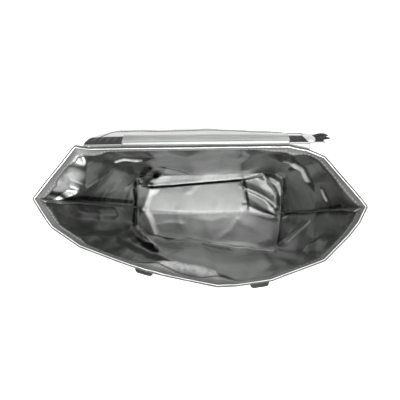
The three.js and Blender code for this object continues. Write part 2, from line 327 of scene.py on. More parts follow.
def finer(grid, axis, closed=False):
    """A grid with a point added midway between each two along one axis, on a smooth curve."""
    g = np.moveaxis(grid, axis, 0)
    n = len(g)
    if closed:
        before, after, beyond = np.roll(g, 1, 0), np.roll(g, -1, 0), np.roll(g, -2, 0)
        middle = (9 * (g + after) - before - beyond) / 16
        out = np.empty((2 * n,) + g.shape[1:])
        out[0::2], out[1::2] = g, middle
    else:
        padded = np.concatenate([2 * g[:1] - g[1:2], g, 2 * g[-1:] - g[-2:-1]])
        middle = (9 * (g[:-1] + g[1:]) - padded[:n - 1] - padded[3:n + 2]) / 16
        out = np.empty((2 * n - 1,) + g.shape[1:])
        out[0::2], out[1::2] = g, middle
    return np.moveaxis(out, 0, axis)


# ---------------------------------------------------------------- cloth

def sack_faces(rows=ROWS, columns=COLUMNS, panel=PANEL_CELLS, side=SIDE_CELLS):
    """Faces of the wall and the base as one mesh: the wall's points, then the base's inner points."""
    faces = grid_faces(rows + 1, columns, closed=True)
    number = base_numbers(rows, columns, panel, side)
    for j in range(2 * side):
        for i in range(panel):
            faces.append([number[j, i], number[j, i + 1], number[j + 1, i + 1], number[j + 1, i]][::-1])
    return faces


def base_numbers(rows, columns, panel, side):
    """The point numbers of the base's grid: its edge is the wall's lowest row."""
    number = np.zeros((2 * side + 1, panel + 1), int)
    inner = (rows + 1) * columns
    number[1:-1, 1:-1] = inner + np.arange((2 * side - 1) * (panel - 1)).reshape(2 * side - 1, panel - 1)
    steps = np.arange(panel + 1)
    number[0] = side + steps
    number[-1] = columns - side - steps
    up = np.arange(2 * side + 1)
    number[:, 0] = (side - up) % columns
    number[:, -1] = side + panel + up
    return number


def together(wall, base):
    """The wall's and the base's grids as one list of points, with their common edge only once."""
    return np.concatenate([wall.reshape(-1, 3), base[1:-1, 1:-1].reshape(-1, 3)])


def apart(points, rows, columns, panel, side):
    """The wall's and the base's grids out of one list of points, or of values at the points."""
    wall = points[:(rows + 1) * columns].reshape(rows + 1, columns, *points.shape[1:])
    base = points[base_numbers(rows, columns, panel, side)]
    return wall, base


MOST_SETTLING = 0.007  # how far the cloth may move while it settles


def settle(points, faces):
    """Lets the cloth buckle: it is cut a little larger than its form and held at the rim."""
    seeds = np.random.default_rng(7)
    waves = seeds.normal(size=(40, 3)) * np.array([38, 38, 26])
    phases = seeds.uniform(0, 2 * math.pi, 40)
    normals = normals_of(points, faces)
    stir = np.sin(points @ waves.T + phases).sum(1) / math.sqrt(40)
    on_wall = (ROWS + 1) * COLUMNS
    row, column = np.divmod(np.arange(on_wall), COLUMNS)
    held = np.full(len(points), 0.05)
    held[:on_wall] = 0.02 + 0.98 * np.clip((row / ROWS - 0.93) / 0.05, 0, 1)
    for seam in (LEFT_SEAM, RIGHT_SEAM, COLUMNS):
        held[:on_wall] = np.maximum(held[:on_wall], 0.35 * bell(column, seam, 3.0))
    held[:COLUMNS] = 0.5
    start = points + normals * (stir * 0.0011 * (1 - np.minimum(held * 2, 1)))[:, None]
    piece = new_mesh("settling", start, faces)
    group = piece.vertex_groups.new(name="held")
    for weight in np.unique(np.round(held, 2)):
        chosen = np.nonzero(np.abs(held - weight) < 0.0051)[0].tolist()
        group.add(chosen, float(weight), "REPLACE")
    cloth = piece.modifiers.new("cloth", "CLOTH")
    fabric = cloth.settings
    fabric.quality = 5
    fabric.mass = 0.3
    fabric.tension_stiffness = fabric.compression_stiffness = 25
    fabric.shear_stiffness = 12
    fabric.bending_stiffness = 6
    fabric.vertex_group_mass = "held"
    fabric.pin_stiffness = 1.0
    fabric.shrink_min = fabric.shrink_max = -0.016  # below nought, so the cloth grows
    fabric.effector_weights.gravity = 0.12
    cloth.collision_settings.use_collision = False
    cloth.point_cache.frame_start = 1
    cloth.point_cache.frame_end = 30
    for number in range(1, 25):
        bpy.context.scene.frame_set(number)
    shape = piece.evaluated_get(bpy.context.evaluated_depsgraph_get())
    settled = points_of(shape.to_mesh())
    shape.to_mesh_clear()
    bpy.context.scene.frame_set(1)
    bpy.data.objects.remove(piece)
    move = settled - points
    length = np.linalg.norm(move, axis=1, keepdims=True)
    move *= np.where(length > MOST_SETTLING, MOST_SETTLING / np.maximum(length, 1e-9), 1)
    settled = points + move * 0.5
    settled[:, 2] = np.maximum(settled[:, 2], WALL_LOW)
    return settled


WALL = softened(wall_form())
FORM = together(WALL, base_form(WALL))
SETTLED = settle(FORM, sack_faces())

# The same sack with its grids twice as fine.
FINE_ROWS = 2 * ROWS
FINE_COLUMNS = 2 * COLUMNS
FINE = (FINE_ROWS, FINE_COLUMNS, 2 * PANEL_CELLS, 2 * SIDE_CELLS)
FINE_FACES = sack_faces(*FINE)
CELL = 1.51 * MM  # about the width of the fine grid's cells round the wall


def fine_of(points):
    """A surface of the sack with its grids twice as fine."""
    wall, base = apart(points, ROWS, COLUMNS, PANEL_CELLS, SIDE_CELLS)
    return together(finer(finer(wall, 0), 1, closed=True), finer(finer(base, 0), 1))


FORM_FINE = fine_of(FORM)
HEIGHT = FORM_FINE[:, 2]
OUTWARDS = normals_of(FORM_FINE, FINE_FACES)
ON_BASE = np.zeros(len(FORM_FINE), bool)
ON_BASE[(FINE_ROWS + 1) * FINE_COLUMNS:] = True
ON_BASE[:FINE_COLUMNS] = True

# the mouth's front left edge bows out a little
BOW = 2.0 * MM * np.sin(math.pi * np.clip((FORM_FINE[:, 0] + 0.131) / 0.146, 0, 1)) * (FORM_FINE[:, 1] < 0)
MIDDLE = fine_of(SETTLED) + OUTWARDS * (BOW * smoothstep(HEIGHT, 0.130, 0.236))[:, None]


def row_at(z):
    """The row of the wall's fine grid below a height, and the share of the way to the next row."""
    row = (z - WALL_LOW) / (WALL_HIGH - WALL_LOW) * FINE_ROWS
    below = min(int(row), FINE_ROWS - 1)
    return below, min(row - below, 1)


def at_height(grid, z):
    """What a fine grid of the wall holds along one level."""
    below, share = row_at(z)
    return grid[below] + (grid[below + 1] - grid[below]) * share


# ---------------------------------------------------------------- folds

def from_line(path):
    """How far each point is from a line on the sack, and on which side of it: above nought is left, seen from
    inside and going along the line."""
    path = np.asarray(path, float) * MM
    nearest = np.full(len(FORM_FINE), np.inf)
    beside = np.zeros(len(FORM_FINE))
    for a, b in zip(path, path[1:]):
        along = b - a
        share = np.clip(((FORM_FINE - a) @ along) / (along @ along), 0, 1)
        away = FORM_FINE - (a + share[:, None] * along)
        distance = np.linalg.norm(away, axis=1)
        closer = distance < nearest
        nearest[closer] = distance[closer]
        beside[closer] = np.einsum("ij,ij->i", np.cross(-OUTWARDS[closer], along), away[closer])
    return nearest, beside


def fold(path, lift, left, right, where):
    """How far a fold raises each point into the sack: most on its line, and nothing beyond its widths to the
    left and right."""
    nearest, beside = from_line(path)
    width = np.where(beside > 0, left, right) * MM
    height = np.clip(1 - nearest / width, 0, 1) ** 1.12 * lift * MM
    return np.where(where, height, 0)


# Folds as (lift, width to the left, width to the right, points along the line), in millimetres.
BASE_FOLDS = [
    # the ridge
    (9.0, 62, 58, [(-122, 1, 2), (-74, -2, 2), (-16, -4, 2), (60, -2, 2), (101, -8, 2), (122, -11, 2)]),
    (2.6, 14, 9, [(-104, -46, 2), (-107, -35, 2), (-113, -16, 2), (-123, 1, 2)]),
    (2.4, 12, 8, [(-123, 1, 2), (-117, 19, 2), (-111, 38, 2), (-111, 46, 2)]),
    # front edge of the band along the back
    (5.0, 70, 4.4, [(-111, 46, 2), (-64, 48, 2), (-16, 52, 2), (66, 59, 2), (101, 68, 2)]),
    # the back right corner's dog-ear
    (4.2, 7, 14, [(103, 66, 2), (109, 51, 2), (120, 38, 2), (125, 28, 2), (125, 6, 2)]),
    (3.2, 9, 9, [(103, 64, 2), (120, 58, 2), (133, 51, 2), (138, 32, 2)]),
    (3.6, 14, 4, [(69, 40, 2), (88, 32, 2), (107, 22, 2), (125, 4, 2)]),
    (2.8, 3, 16, [(66, 53, 2), (70, 30, 2), (73, 9, 2)]),
    (2.2, 4, 12, [(73, 9, 2), (101, -4, 2), (122, -11, 2)]),
    # lip of the left tuck
    (5.5, 7, 20, [(-138, 43, 2), (-127, 44, 2), (-111, 46, 2)]),
    (2.5, 6, 14, [(-113, 54, 2), (-100, 61, 2), (-84, 66, 2)]),
]
WALL_FOLDS = [
    (5.0, 9, 5, [(-137, 52, 6), (-115, 67, 27), (-90, 71, 83)]),
    # edge of the front left pocket
    (7.0, 26, 9, [(-76, -55, 121), (-97, -51, 82), (-129, -44, 14)]),
    (3.5, 9, 16, [(-135, -37, 56), (-115, -46, 95), (-90, -51, 127), (-73, -56, 134)]),
    (6.0, 16, 26, [(113, -73, 28), (129, -63, 33), (136, -45, 73), (143, -26, 98)]),
    (13.5, 12, 42, [(-161, 38, 200), (-157, 43, 196), (-152, 52, 206), (-148, 59, 214), (-145, 64, 221)]),
    (5.0, 7, 24, [(-164, 38, 222), (-160, 38, 191), (-152, 46, 157), (-145, 57, 141), (-121, 70, 147)]),
    (5.5, 4.5, 20, [(-112, 72, 184), (-98, 72, 181), (-82, 72, 176)]),
    (3.0, 12, 12, [(-132, 74, 238), (-115, 72, 226), (-112, 72, 191)]),
    (3.0, 10, 10, [(-176, 10, 236), (-170, 2, 236), (-165, -7, 236)]),
    (4.5, 20, 14, [(-138, -28, 226), (-138, -29, 187), (-126, -38, 150), (-85, -51, 171), (-56, -59, 181)]),
    (4.0, 16, 8, [(-166, 1, 185), (-159, -4, 143), (-151, -8, 87)]),
    (7.0, 6, 24, [(100, 73, 186), (116, 70, 168), (129, 63, 157), (142, 47, 150)]),
    (3.5, 18, 12, [(90, 74, 164), (97, 72, 197), (99, 70, 238)]),
    (3.6, 4, 12, [(149, 30, 175), (155, 18, 176)]),
    (11.5, 26, 20, [(-50, -58, 228), (-30, -64, 214), (-10, -69, 211), (8, -72, 212), (16, -72, 226)]),
    (3.4, 22, 12, [(161, 21, 224), (152, 33, 224), (141, 49, 224), (130, 60, 226)]),
    (5.0, 12, 18, [(78, 72, 229), (92, 72, 225), (100, 71, 230)]),
    (3.0, 18, 10, [(-170, 3, 227), (-164, -6, 226), (-155, -13, 229)]),
    (3.5, 12, 12, [(136, -41, 168), (141, -32, 187), (140, -31, 214)]),
    (3.2, 6, 14, [(-68, 72, 84), (-41, 71, 38), (-7, 66, 6)]),
    (5.0, 34, 30, [(-45, -52, 4), (-12, -67, 61), (1, -71, 178)]),
    (4.0, 30, 22, [(70, -68, 20), (64, -70, 90), (84, -62, 190)]),
    (4.0, 26, 34, [(-30, 72, 40), (-8, 76, 110), (-22, 75, 200)]),
    (3.5, 30, 20, [(60, 72, 60), (48, 75, 130), (62, 73, 205)]),
]

# Creases as (strength, half width, points along the line), in millimetres. A strength above nought paints a
# highlight along the crease, the foil drawn pale and less metallic, and one below nought paints shadow.
CREASE_LIGHT_AND_SHADE = [
    (1.7, 3.6, [(-120, 2, 2), (-107, -5, 2), (-34, -5, 2), (78, -4, 2), (118, -12, 2)]),
    (1.4, 3.0, [(-122, 2, 2), (-109, -23, 2), (-101, -46, 2)]),
    (1.3, 2.6, [(-106, 46, 2), (-16, 55, 2), (79, 62, 2), (104, 66, 2)]),
    (-1.8, 4.4, [(-108, 42, 2), (-15, 49.5, 2), (59, 55, 2)]),
    (1.5, 3.0, [(136, 67, 33), (138, 34, 2)]),
    (1.7, 3.2, [(102, 64, 2), (116, 48, 2), (125, 32, 2), (122, 5, 2)]),
    (1.6, 3.0, [(70, 39, 2), (96, 28, 2), (118, 13, 2), (139, -1, 5)]),
    (-1.0, 6.0, [(66, 53, 2), (70, 22, 2), (91, 8, 2), (118, -7, 2)]),
    (2.0, 3.2, [(8, -66, 9), (58, -72, 18), (108, -72, 42)]),
    (-3.0, 7.0, [(-6, -66, 24), (35, -71, 33), (86, -73, 60)]),
    (0.9, 12.0, [(-92, 57, 2), (-16, 62, 2), (50, 67, 2)]),
    (0.45, 50.0, [(-85, -28, 2), (100, -40, 2)]),
    (0.35, 36.0, [(-80, 26, 2), (60, 28, 2)]),
    (1.0, 3.2, [(111, -72, 47), (136, -48, 86), (150, -13, 122)]),
    (0.8, 2.6, [(-69, 74, 94), (-39, 72, 48), (-6, 65, 3)]),
    (1.8, 3.6, [(-112, 72, 184), (-98, 72, 181), (-82, 72, 176)]),
    (1.0, 2.6, [(-88, 72, 178), (-92, 72, 158)]),
    (1.4, 2.4, [(100, 73, 186), (116, 70, 168)]),
    (2.2, 5.0, [(116, 70, 168), (129, 63, 157), (142, 47, 150)]),
    (1.8, 2.8, [(149, 30, 175), (155, 18, 176)]),
    (0.8, 2.6, [(-139, 42, 20), (-111, 46, 2)]),
    (-3.0, 10.0, [(-133, -41, 47), (-107, -49, 94), (-86, -53, 136), (-75, -56, 147)]),
    (1.5, 3.0, [(-119, -47, 51), (-93, -52, 101), (-72, -57, 141)]),
    (-1.8, 5.0, [(-141, 37, 19), (-141, 16, 12), (-140, -29, 19), (-133, -41, 47)]),
    (-0.9, 20.0, [(-80, -56, 73), (-56, -61, 83)]),
    (-2.2, 8.0, [(-100, 64, 3), (-79, 71, 58), (-88, 70, 30)]),
    (-1.6, 6.0, [(-140, 46, 16), (-124, 66, 25), (-93, 72, 95)]),
    (-1.5, 4.4, [(-175, 27, 230), (-173, 26, 212), (-164, 20, 148), (-143, 15, 23)]),
    (0.3, 8.0, [(-172, 8, 201), (-161, 7, 125), (-143, 5, 23)]),
    (-0.9, 4.0, [(140, -7, 22), (151, -2, 103), (162, 11, 197)]),
    (-0.75, 80.0, [(-58, -61, 60), (14, -70, 55), (95, -68, 80)]),
    (-0.15, 60.0, [(-150, -12, 150), (-120, -40, 130)]),
    (-0.35, 60.0, [(-60, 75, 180), (90, 73, 185)]),
    (-0.4, 50.0, [(60, -72, 120), (110, -62, 150)]),
    (-0.5, 90.0, [(-60, 75, 100), (60, 74, 110)]),
    (1.1, 13.0, [(-46, -59, 222), (-10, -69, 216), (10, -72, 222)]),
    (1.0, 17.0, [(-168, 25, 222), (-155, 46, 216)]),
]

WALL_PAINTED_SHADE = 0.16  # painted shade: the wall's foil is drawn darker than the base's


def painted_crease_light_and_shade():
    """How much painted highlight (up to 1) or painted shadow (down to -1) each point's foil carries, the
    walls' painted shade included.
    """
    painted_light = np.zeros(len(FORM_FINE))
    for strength, width, path in CREASE_LIGHT_AND_SHADE:
        painted_light += strength * np.clip(1 - from_line(path)[0] / (width * MM), 0, 1) ** 0.8
    return np.clip(painted_light - np.where(ON_BASE, 0, WALL_PAINTED_SHADE), -1, 1)


def chance_folds():
    """Small folds left by handling: on the wall they run mostly up and down, on the base every way."""
    pick = np.random.default_rng(19)
    wall = apart(FORM_FINE, *FINE)[0] / MM
    total = np.zeros(len(FORM_FINE))
    for _ in range(26):
        column, row = pick.integers(FINE_COLUMNS), pick.integers(6, 118)
        lean, tall = pick.normal(0, 14), pick.uniform(18, 70)
        path = []
        for t in (0, 0.4, 1):
            across = int(column + lean * t + pick.normal(0, 3)) % FINE_COLUMNS
            path.append(wall[min(row + int(tall * t), FINE_ROWS), across])
        total += fold(path, pick.uniform(0.5, 1.5), pick.uniform(5, 20), pick.uniform(5, 24), ~ON_BASE)
    for _ in range(9):
        centre, angle = pick.uniform((-125, -60), (125, 62)), pick.uniform(0, math.pi)
        reach = pick.uniform(8, 34) * np.array([math.cos(angle), math.sin(angle)])
        path = [(*(centre - reach), 2), (*(centre + pick.normal(0, 3, 2)), 2), (*(centre + reach), 2)]
        total += fold(path, pick.uniform(0.3, 0.8), pick.uniform(6, 14), pick.uniform(8, 18), ON_BASE)
    return total


def eased(values, rounds):
    """Values on the fine sack, smoothed over their neighbours."""
    quads = np.asarray(FINE_FACES)
    for _ in range(rounds):
        total, count = np.zeros(len(values)), np.zeros(len(values))
        for k in range(4):
            np.add.at(total, quads[:, k], values[quads].mean(1))
            np.add.at(count, quads[:, k], 1)
        values = total / count
    return values


MOST_LIFT = 14 * MM


def all_folds():
    """How far every point is raised into the sack. The wall's folds run out under the hem."""
    below_top = np.clip((0.2395 - HEIGHT) / 0.016, 0, 1)
    on_base = sum(fold(path, *sizes, ON_BASE) for *sizes, path in BASE_FOLDS)
    on_wall = sum(fold(path, *sizes, ~ON_BASE) for *sizes, path in WALL_FOLDS)
    lift = np.minimum(on_base + (on_wall + chance_folds()) * below_top, MOST_LIFT)
    lift[:FINE_COLUMNS] = 0
    return eased(lift, 1)


LIFT = all_folds()
PINCH = 1 - 0.6 * smoothstep(HEIGHT, 0.212, 0.230)  # the cloths lie closer together towards the hem


def layer(distance, share_of_folds, rounds):
    """The sack's surface at a distance outwards from its middle, as the wall's grid and the base's grid. It
    shows a share of the folds, eased over a number of rounds."""
    points = MIDDLE + OUTWARDS * (distance * MM * PINCH - eased(LIFT, rounds) * share_of_folds)[:, None]
    points[:, 2] = np.maximum(points[:, 2], FOOT_GAP)
    return apart(points, *FINE)


# painted highlight and painted shadow at each point of the wall and of the base
PAINTED_LIGHT_WALL, PAINTED_LIGHT_BASE = apart(painted_crease_light_and_shade(), *FINE)
WALL_HEIGHT = apart(HEIGHT, *FINE)[0]
UV_BASE = np.stack(np.meshgrid(np.linspace(-0.14, 0.14, 2 * PANEL_CELLS + 1),
                               np.linspace(-0.07, 0.07, 4 * SIDE_CELLS + 1)), 2)
PANELS = {
    "front": np.arange(0, 2 * RIGHT_SEAM + 1),
    "back": np.arange(2 * RIGHT_SEAM, FINE_COLUMNS + 1) % FINE_COLUMNS,
}


def panel(grid, name, step=1):
    """The front or the back half of a wall grid."""
    return grid[::step, PANELS[name][::step]]


def panel_uv(name, step=1):
    """The weave of one half: it starts afresh at the half's first seam."""
    up = panel(WALL_HEIGHT, name, step)
    along = np.arange(up.shape[1]) * CELL * step
    return np.stack([np.broadcast_to(along, up.shape), up], 2)


# ---------------------------------------------------------------- materials

def set_stops(ramp, stops):
    """Gives a colour ramp its stops, as (place, grey or colour)."""
    while len(ramp.elements) < len(stops):
        ramp.elements.new(0.5)
    for element, (at, color) in zip(ramp.elements, stops):
        element.position = at
        element.color = (*color, 1) if hasattr(color, "__len__") else (color, color, color, 1)


class Shader:
    """A node material with short calls for what every cloth here needs."""

    def __init__(self, name):
        self.material = bpy.data.materials.new(name)
        self.material.use_nodes = True
        self.nodes = self.material.node_tree.nodes
        self.links = self.material.node_tree.links
        self.surface = self.nodes["Principled BSDF"]
        self.place = self.nodes.new("ShaderNodeTexCoord").outputs["Object"]
        self.weave_place = self.nodes.new("ShaderNodeUVMap")
        self.weave_place.uv_map = "weave"
        self.bump = None

    def new(self, kind, **settings):
        node = self.nodes.new(kind)
        for key, value in settings.items():
            if key in node.inputs:
                node.inputs[key].default_value = value
            else:
                setattr(node, key, value)
        return node

    def noise(self, size, detail=3.0, kind="FBM", roughness=0.55):
        """Cloudy or creased noise whose features are about size metres across."""
        node = self.new("ShaderNodeTexNoise", noise_type=kind, Scale=1 / size, Detail=detail,
                        Roughness=roughness)
        self.links.new(self.place, node.inputs["Vector"])
        return node.outputs["Fac"]

    def threads(self, pitch):
        """A plain weave: threads that cross over and under, a pitch apart."""
        height = None
        for direction in ("X", "Y"):
            wave = self.new("ShaderNodeTexWave", bands_direction=direction, Scale=0.31416 / pitch,
                            Distortion=0.6, Detail=1.0)
            self.links.new(self.weave_place.outputs["UV"], wave.inputs["Vector"])
            thread = wave.outputs["Fac"]
            height = thread if height is None else self.math("MULTIPLY", height, thread)
        return height

    def math(self, operation, a, b):
        node = self.new("ShaderNodeMath", operation=operation)
        for socket, value in zip(node.inputs, (a, b)):
            if isinstance(value, (int, float)):
                socket.default_value = value
            else:
                self.links.new(value, socket)
        return node.outputs[0]

    def limited(self, value):
        """A value kept between 0 and 1."""
        node = self.new("ShaderNodeClamp")
        self.links.new(value, node.inputs["Value"])
        return node.outputs["Result"]

    def over(self, amount, under, grey):
        """A grey laid over a colour by an amount between 0 and 1."""
        node = self.new("ShaderNodeMix", data_type="RGBA")
        self.links.new(amount, node.inputs[0])
        self.links.new(under, node.inputs[6])
        node.inputs[7].default_value = (grey, grey, grey, 1)
        return node.outputs[2]

    def ramp(self, value, stops):
        """The colour that stops give for a value."""
        node = self.new("ShaderNodeValToRGB")
        self.links.new(value, node.inputs["Fac"])
        set_stops(node.color_ramp, stops)
        return node.outputs["Color"]

    def color(self, value, stops):
        self.links.new(self.ramp(value, stops), self.surface.inputs["Base Color"])

    def roughness(self, value, low, high):
        node = self.new("ShaderNodeMapRange")
        self.links.new(value, node.inputs["Value"])
        node.inputs["To Min"].default_value = low
        node.inputs["To Max"].default_value = high
        self.links.new(node.outputs["Result"], self.surface.inputs["Roughness"])

    def raise_by(self, value, depth, strength=1.0):
        """Adds a layer of bump, depth metres high."""
        node = self.new("ShaderNodeBump", Strength=strength, Distance=depth)
        self.links.new(value, node.inputs["Height"])
        if self.bump is not None:
            self.links.new(self.bump, node.inputs["Normal"])
        self.bump = node.outputs["Normal"]

    def done(self, **settings):
        if self.bump is not None:
            self.links.new(self.bump, self.surface.inputs["Normal"])
        for key, value in settings.items():
            self.surface.inputs[key.replace("_", " ")].default_value = value
        return self.material


def foil_lining(name, dull, bright):
    """Thin foil on glass cloth, with duller patches. Along creases it carries painted highlights, pale and
    less metallic, and painted shadow."""
    m = Shader(name)
    painted_light = m.new("ShaderNodeAttribute", attribute_name="painted_light").outputs["Fac"]
    # painted highlight: along bright creases the foil turns pale and less metallic, broken up by noise;
    # painted shadow: along shaded creases it is darkened
    highlight_breakup = m.math("ADD", m.noise(0.004, 3), 0.45)
    painted_highlight = m.limited(m.math("MULTIPLY", painted_light, highlight_breakup))
    shaded = m.limited(m.math("MULTIPLY", painted_light, -1.0))
    patches = m.ramp(m.noise(0.045, 4), [(0.30, dull), (0.70, bright)])
    m.links.new(m.over(painted_highlight, m.over(shaded, patches, 0.03), 0.84), m.surface.inputs["Base Color"])
    m.links.new(m.ramp(painted_highlight, [(0.0, 0.92), (0.8, 0.25)]), m.surface.inputs["Metallic"])
    m.roughness(m.noise(0.03, 3), 0.25, 0.40)
    m.raise_by(m.noise(0.034, 4, "RIDGED_MULTIFRACTAL", 0.45), 0.0012, 0.28)
    m.raise_by(m.noise(0.007, 3), 0.00022, 0.6)
    m.raise_by(m.threads(0.0011), 0.00005, 0.5)
    return m.done()


def shell_cloth(name, shades, metallic):
    """Aluminised glass cloth, outside: satin, with the weave showing and a patchy tone."""
    m = Shader(name)
    wear = m.noise(0.06, 5)
    m.color(wear, [(at, (grey, grey * 1.02, grey * 1.01)) for at, grey in zip((0.30, 0.62, 0.78), shades)])
    m.roughness(wear, 0.34, 0.52)
    m.raise_by(m.noise(0.028, 4, "RIDGED_MULTIFRACTAL", 0.5), 0.0009, 0.5)
    m.raise_by(m.threads(0.0016), 0.00012, 0.8)
    return m.done(Metallic=metallic)


HEMS_PER_METRE = 29  # how many folded hems, opened out, make a metre


def hem_cloth(name, shades, metallic):
    """Cloth folded over and sewn. Its shade and its shine run across the opened hem."""
    m = Shader(name)
    wear = m.noise(0.012, 4)
    split = m.new("ShaderNodeSeparateXYZ")
    m.links.new(m.weave_place.outputs["UV"], split.inputs["Vector"])
    straight = m.math("MULTIPLY", split.outputs["Y"], HEMS_PER_METRE)
    across = m.math("ADD", straight, m.math("MULTIPLY", wear, 0.06))
    m.color(across, [(at, (grey, grey * 1.015, grey * 0.995)) for at, grey in shades])
    m.roughness(wear, 0.30, 0.50)
    m.raise_by(m.noise(0.009, 3), 0.0004, 0.6)
    m.raise_by(m.threads(0.0013), 0.00008, 0.6)
    m.links.new(m.ramp(across, metallic), m.surface.inputs["Metallic"])
    return m.done(Specular_IOR_Level=0.1)


def seam_cloth():
    """Grey binding cloth, sewn round the seam allowances."""
    m = Shader("seam_binding")
    wear = m.noise(0.016, 4)
    m.color(wear, [(0.32, (0.24, 0.245, 0.24)), (0.70, (0.40, 0.41, 0.40))])
    m.roughness(wear, 0.36, 0.55)
    m.raise_by(m.noise(0.008, 3), 0.0005, 0.6)
    m.raise_by(m.threads(0.0011), 0.0001, 0.7)
    return m.done(Metallic=0.80)


def black_nylon(name, grain, depth):
    """Nylon tape: matt black with a faint dusty nap."""
    m = Shader(name)
    m.color(m.noise(grain * 6, 3), [(0.35, (0.006, 0.006, 0.007)), (0.75, (0.018, 0.018, 0.019))])
    m.roughness(m.noise(grain * 3, 2), 0.62, 0.85)
    m.raise_by(m.noise(grain, 4), depth, 0.9)
    m.raise_by(m.threads(grain * 1.4), depth / 2, 0.5)
    return m.done(Metallic=0.0, Sheen_Weight=0.12, Sheen_Roughness=0.4)


def sewing_thread():
    """Twisted grey thread."""
    m = Shader("sewing_thread")
    m.color(m.noise(0.004, 2), [(0.3, (0.33, 0.34, 0.33)), (0.7, (0.52, 0.53, 0.52))])
    m.roughness(m.noise(0.003, 2), 0.5, 0.7)
    m.raise_by(m.threads(0.0006), 0.00008, 0.8)
    return m.done(Metallic=0.0, Sheen_Weight=0.3)


# painted light and shade: FOIL and FLAP_FOIL are one foil, toned apart for the dim light inside the sack and
# the stronger light out on the flap
FOIL = foil_lining("foil_lining", (0.33, 0.34, 0.33), (0.43, 0.44, 0.43))
FLAP_FOIL = foil_lining("flap_foil", (0.37, 0.38, 0.37), (0.45, 0.46, 0.45))
SHELL = shell_cloth("aluminised_cloth", (0.31, 0.37, 0.42), 0.82)
# painted light: the neck is the shell's cloth drawn lighter and less metallic, so that it does not look dark
# where little light reaches it
NECK = shell_cloth("neck_cloth", (0.40, 0.48, 0.56), 0.45)
SEAM = seam_cloth()
# The rim's hem is painted pale along its top as a highlight, with a dark line of painted shade on each side
# of that; the outer dark line is also not metallic.
HEM = hem_cloth(
    "rim_hem",
    [(0.33, 0.36), (0.375, 0.08), (0.548, 0.09), (0.562, 0.92), (0.610, 0.90), (0.628, 0.16), (0.66, 0.18),
     (0.70, 0.40), (0.84, 0.52), (0.95, 0.36)],
    [(0.34, 0.6), (0.37, 0.0), (0.548, 0.0), (0.562, 0.6)],
)
FLAP_HEM = hem_cloth("flap_hem", [(0.0, 0.50), (0.4, 0.60), (0.7, 0.52)], [(0.0, 0.25), (1.0, 1.0)])
HOOK = black_nylon("hook_nylon", 0.0012, 0.0003)
LOOP = black_nylon("loop_pile", 0.0009, 0.0005)
THREAD = sewing_thread()


def finished(piece, body, material, slot, replaces=()):
    """Gives a piece its material and body, and hides the parts of the frame that it replaces."""
    piece.data.materials.append(material)
    if body:
        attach(piece, body)
    if replaces:
        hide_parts(*replaces)


# ---------------------------------------------------------------- wall and base cloths

LINING_WALL, LINING_BASE = layer(-1.0, 1.0, 0)
SHELL_OUTER, BASE_OUTER = layer(1.4, 0.45, 3)
SHELL_INNER, BASE_INNER = layer(0.7, 0.45, 3)


def wall_cloths(name):
    """The front's or the back's lining and shell. The felt is out of sight between them."""
    grid = panel(LINING_WALL, name)
    lining = new_mesh(f"{name}_lining_cloth", grid, grid_faces(*grid.shape[:2], flip=True),
                      uv=panel_uv(name).reshape(-1, 2), painted_light=panel(PAINTED_LIGHT_WALL, name))
    finished(lining, "bag", FOIL, "lining", (f"{name}_lining", f"{name}_felt"))
    outer, inner = panel(SHELL_OUTER, name, 2), panel(SHELL_INNER, name, 2)
    shell = thin_solid(f"{name}_shell_cloth", outer, inner, panel_uv(name, 2))
    finished(shell, "bag", SHELL, "shell", (f"{name}_shell",))


def base_cloths():
    """The base's lining and shell."""
    lining = new_mesh("base_lining_cloth", LINING_BASE, grid_faces(*LINING_BASE.shape[:2]),
                      uv=UV_BASE.reshape(-1, 2), painted_light=PAINTED_LIGHT_BASE)
    finished(lining, "bag", FOIL, "lining", ("base_lining", "base_felt"))
    shell = thin_solid("base_shell_cloth", BASE_INNER[::2, ::2], BASE_OUTER[::2, ::2], UV_BASE[::2, ::2])
    finished(shell, "bag", SHELL, "shell", ("base_shell",))


wall_cloths("front")
wall_cloths("back")
base_cloths()


# ---------------------------------------------------------------- stitching

# A stitch's rings: how far along it, how far above the cloth in millimetres, and how thick.
STITCH = [(0, -0.35, 0.4), (0.15, 0.05, 0.9), (0.5, 0.2, 1), (0.85, 0.05, 0.9), (1, -0.35, 0.4)]
STITCH_SIDES = 5


def stitches(name, path, normals, pitch=4.2, length=3.0, radius=0.28):
    """A row of thread stitches sewn along a path that lies on a cloth. Sizes in millimetres."""
    along = lengths_along(path)

    def at(line, distance):
        return np.array([np.interp(distance, along, line[:, k]) for k in range(3)])

    points, faces = [], []
    for start in np.arange(pitch / 2, along[-1] / MM - length, pitch):
        first = len(points)
        for share, rise, thick in STITCH:
            middle = (start + share * length) * MM
            centre, up = at(path, middle), at(normals, middle)
            side = np.cross(at(path, middle + MM) - at(path, middle - MM), up)
            side /= max(np.linalg.norm(side), 1e-9)
            for turn in np.arange(STITCH_SIDES) * 2 * math.pi / STITCH_SIDES:
                points.append(centre + (up * (rise + math.sin(turn) * radius * thick)
                                        + side * math.cos(turn) * radius * thick) * MM)
        faces += grid_faces(len(STITCH), STITCH_SIDES, first, closed=True)
        faces.append([first + i for i in range(STITCH_SIDES)][::-1])
        faces.append([len(points) - STITCH_SIDES + i for i in range(STITCH_SIDES)])
    return turned_out(new_mesh(name, points, faces, uv=np.array(points)[:, :2]))


def sew(name, body, slot, path, normals, **sizes):
    """Sews a row of stitches. The path's points have a normal each, or one for them all."""
    path = np.asarray(path)
    row = stitches(f"{name}_stitching", path, np.broadcast_to(normals, path.shape), **sizes)
    finished(row, body, THREAD, slot)


# ---------------------------------------------------------------- rim hems

WALL_MIDDLE = apart(MIDDLE, *FINE)[0]
WALL_LIFT = apart(LIFT, *FINE)[0]
RIM = WALL_MIDDLE[-1, :, :2]

# Where the rim is nicked, in X and Y.
NICKS = np.array([(-0.159, -0.010), (0.130, -0.046), (0.168, 0.015), (0.164, -0.011), (-0.132, 0.076),
                  (0.130, 0.064)])


